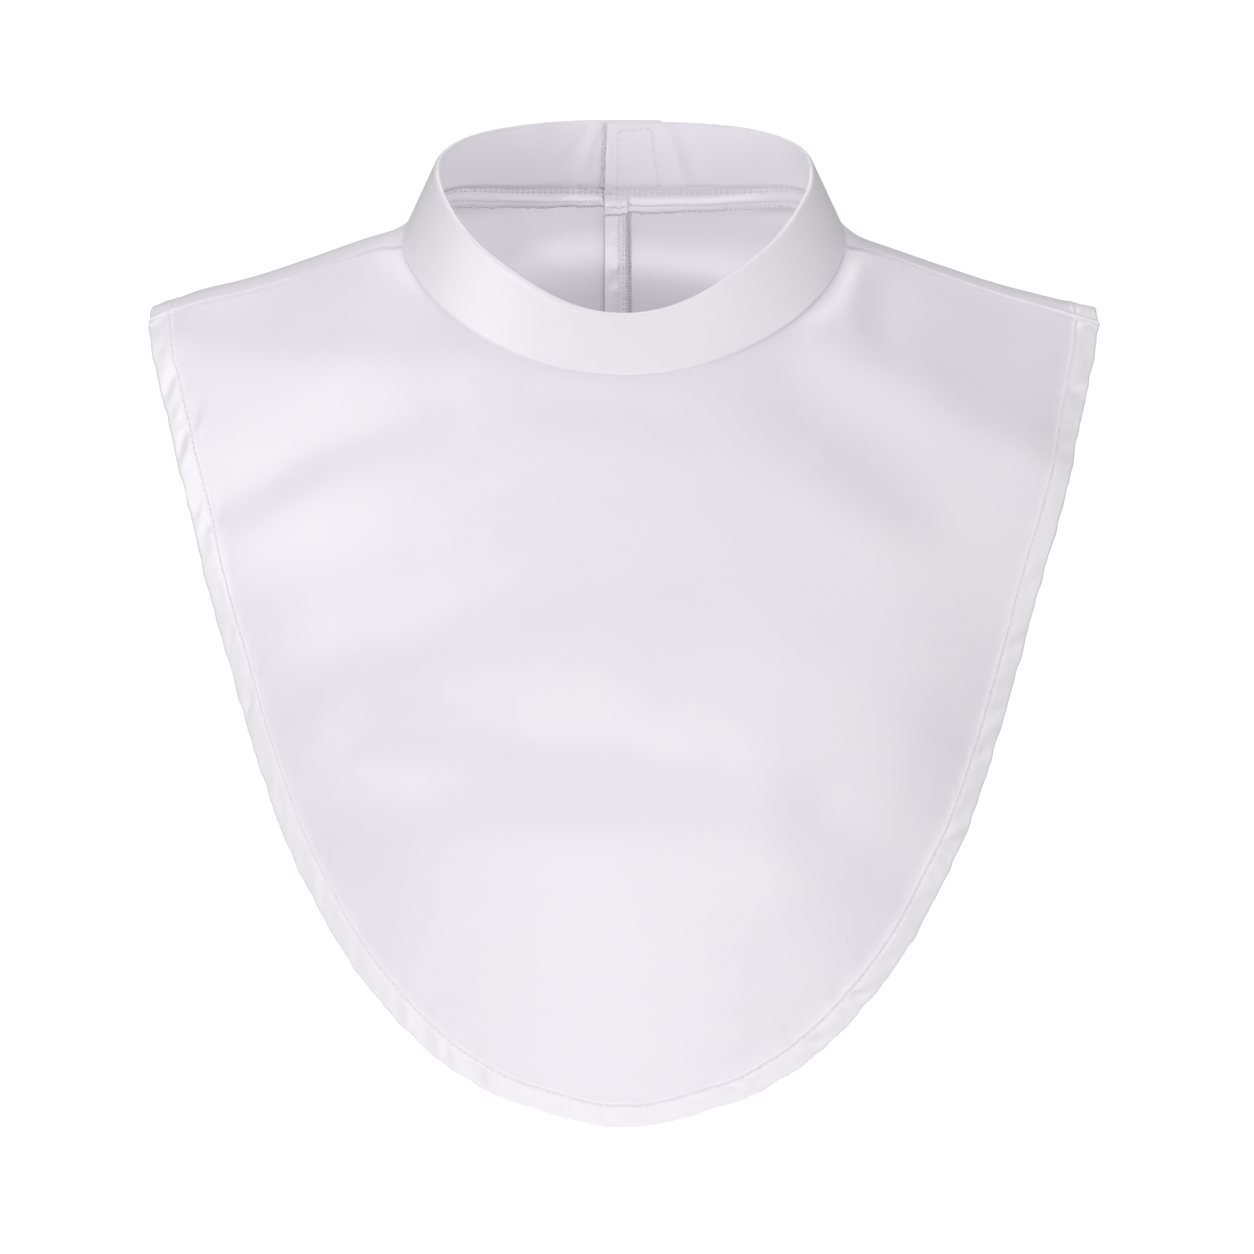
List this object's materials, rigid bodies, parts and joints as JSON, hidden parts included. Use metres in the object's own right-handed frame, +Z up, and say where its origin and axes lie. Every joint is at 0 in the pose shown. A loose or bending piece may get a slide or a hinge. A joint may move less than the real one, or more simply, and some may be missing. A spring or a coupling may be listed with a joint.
{
  "type": "clerical collar bib",
  "caption": "White cloth bib worn under a robe or jacket, with a plain stand collar, a shield-shaped front and back panels lapped at the centre back.",
  "frame": {"origin": "middle of the neck opening, level with the widest part of the neck seam", "axes": "+X the wearer's left, +Y the wearer's back, +Z up"},
  "size_m": [0.363, 0.2355, 0.3598],
  "materials": {
    "white_twill": "smooth, soft sheen",
    "collar_twill": "smooth, soft sheen",
    "overlocked_edge": "matt",
    "hook_and_loop_tape": "matt"
  },
  "bodies": {
    "root": {"front_panel": "white_twill", "back_panel_left": "white_twill", "back_panel_right": "white_twill", "collar_band": "collar_twill", "neck_seam_allowance": "overlocked_edge", "hook_tape": "hook_and_loop_tape", "loop_tape": "hook_and_loop_tape"}
  },
  "joints": []
}
